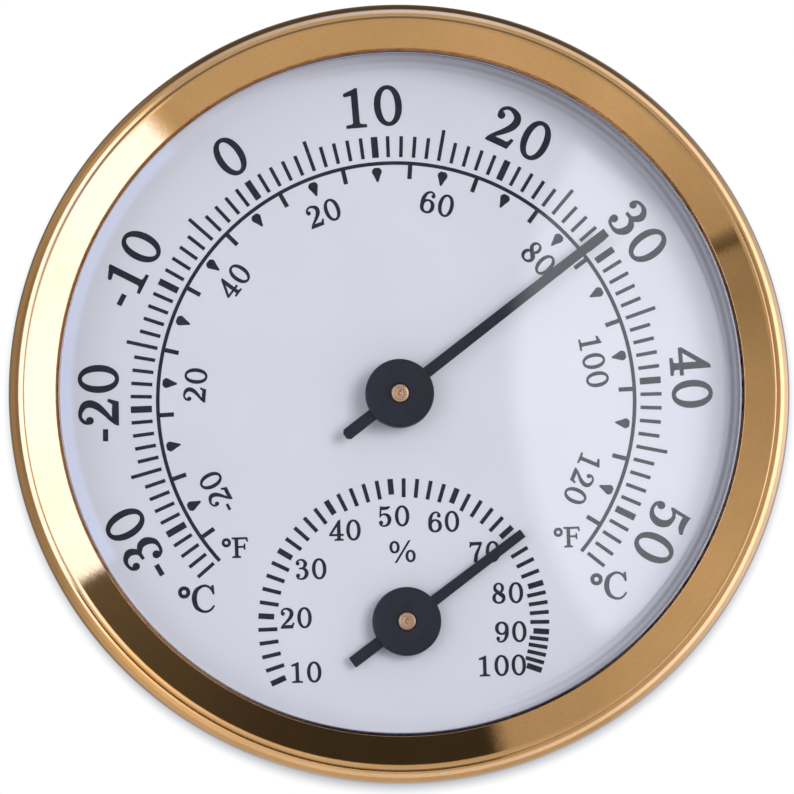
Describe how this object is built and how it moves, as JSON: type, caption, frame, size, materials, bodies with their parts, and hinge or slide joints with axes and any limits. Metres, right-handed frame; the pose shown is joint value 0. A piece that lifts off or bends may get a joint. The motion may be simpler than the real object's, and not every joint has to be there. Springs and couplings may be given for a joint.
{
  "type": "dial hygrometer",
  "caption": "Round wall-hung dial gauge with a gold bezel and domed lens: a bimetal thermometer in the middle and a coil hygrometer below it on one white dial.",
  "frame": {"origin": "centre of the flat back face, on the axis of the round case and of the thermometer's arbor", "axes": "-Y out of the dial towards the reader, +Z to 12 o'clock, +X to 3 o'clock"},
  "size_m": [0.072, 0.0212, 0.072],
  "materials": {
    "gold_plate": "bright gold-coloured plating, turned face with a fine ring grain",
    "case_plastic": "moulded black plastic, fine satin texture",
    "clear_lens": "clear moulded plastic, polished",
    "seal": "grey sealing ring",
    "white_plastic": "white moulded ring",
    "dial_print": "white satin paint with black printed scales",
    "pointer_black": "satin black",
    "brass": "turned",
    "steel": "zinc plated, brushed",
    "bimetal": "rolled bimetal strip, slightly tinted",
    "humidity_strip": "metal strip with a dull moisture-sensitive film"
  },
  "bodies": {
    "case": {"rear_case": "case_plastic", "bezel": "gold_plate", "lens": "clear_lens", "lens_gasket": "seal", "spacer_ring": "white_plastic", "dial_plate": "dial_print", "movement_plate": "steel", "plate_screw_1": "steel", "plate_screw_2": "steel", "plate_screw_3": "steel", "plate_screw_4": "steel", "temperature_bush": "brass", "humidity_bush": "brass", "temperature_coil": "bimetal", "temperature_coil_post": "steel", "adjuster_washer": "steel"},
    "temperature_staff": {"temperature_arbor": "brass", "temperature_collet": "brass", "temperature_pointer": "pointer_black"},
    "adjuster": {"calibration_adjuster": "brass", "humidity_coil_post": "steel", "humidity_coil": "humidity_strip"},
    "humidity_staff": {"humidity_arbor": "brass", "humidity_collet": "brass", "humidity_pointer": "pointer_black"}
  },
  "joints": [
    {"name": "temperature_turn", "type": "hinge", "parent": "case", "child": "temperature_staff", "pos_m": [0, -0.003, 0], "axis": [0, -1, 0], "range_deg": [-76.2, 184.1]},
    {"name": "calibration_turn", "type": "hinge", "parent": "case", "child": "adjuster", "pos_m": [0, -0.0015, -0.021], "axis": [0, -1, 0], "range_deg": [-15, 15]},
    {"name": "humidity_turn", "type": "hinge", "parent": "adjuster", "child": "humidity_staff", "pos_m": [0, -0.0035, -0.021], "axis": [0, -1, 0], "range_deg": [-55.3, 167.7]}
  ]
}
